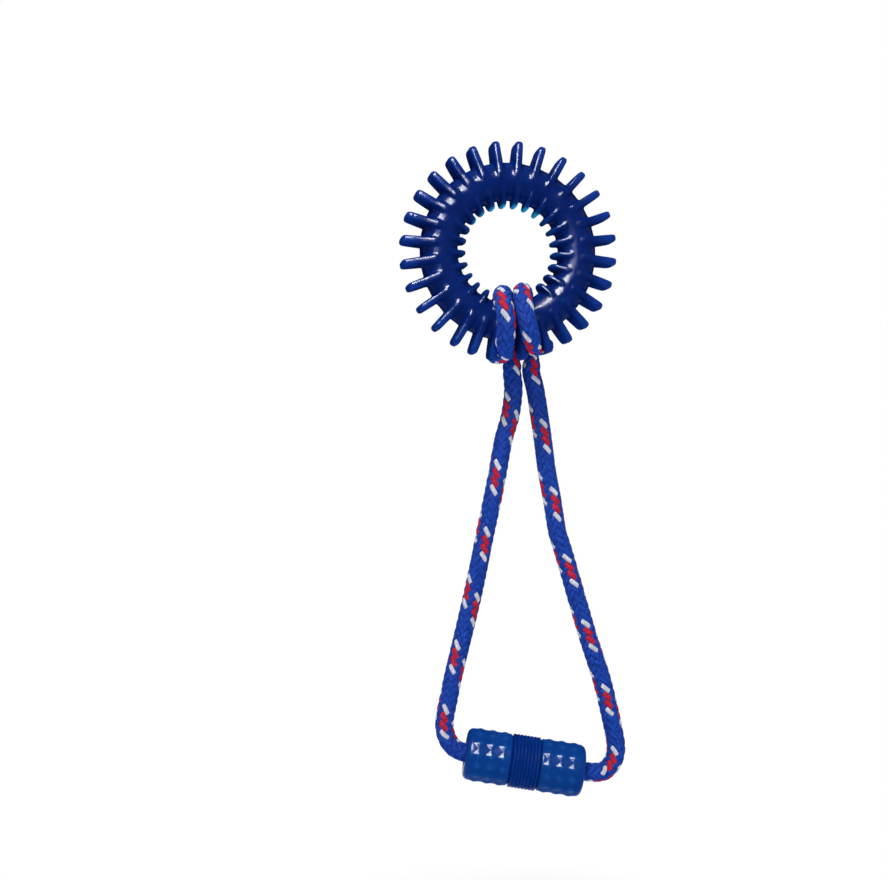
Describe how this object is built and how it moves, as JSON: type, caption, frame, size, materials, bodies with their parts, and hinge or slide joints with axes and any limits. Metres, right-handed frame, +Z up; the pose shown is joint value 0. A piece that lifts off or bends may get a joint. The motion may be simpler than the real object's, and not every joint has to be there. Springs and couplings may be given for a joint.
{
  "type": "dental ring rope toy",
  "caption": "Finned rubber chew ring on a braided rope loop, hitched at its top and closed through a ribbed grip that turns on the rope.",
  "frame": {"origin": "centre of the chew ring, where a hand holds the toy", "axes": "+Z up, from the grip to the ring; +Y along the ring's axis, away from the viewer; +X to the right seen from the front"},
  "size_m": [0.1297, 0.0559, 0.3674],
  "materials": {
    "ring_rubber": "glossy translucent thermoplastic rubber",
    "grip_rubber": "glossy translucent thermoplastic rubber",
    "rope_yarn": "braided polypropylene yarn, blue with red and white flecks",
    "sleeve_metal": "crimped tube"
  },
  "bodies": {
    "ring": {"dental_ring": "ring_rubber", "rope_hitch": "rope_yarn"},
    "rope_loop": {"rope_leg_left": "rope_yarn", "rope_leg_right": "rope_yarn", "rope_join_sleeve": "sleeve_metal"},
    "grip": {"handle_grip": "grip_rubber"}
  },
  "joints": [
    {"name": "loop_swing", "type": "hinge", "parent": "ring", "child": "rope_loop", "pos_m": [0.011, 0.016, -0.0665], "axis": [1, 0, 0], "range_deg": [-75, 75]},
    {"name": "grip_spin", "type": "hinge", "parent": "rope_loop", "child": "grip", "pos_m": [-0.0209, 0.02044, -0.2823], "axis": [0.9783, -0.1375, -0.1547], "continuous": true}
  ]
}
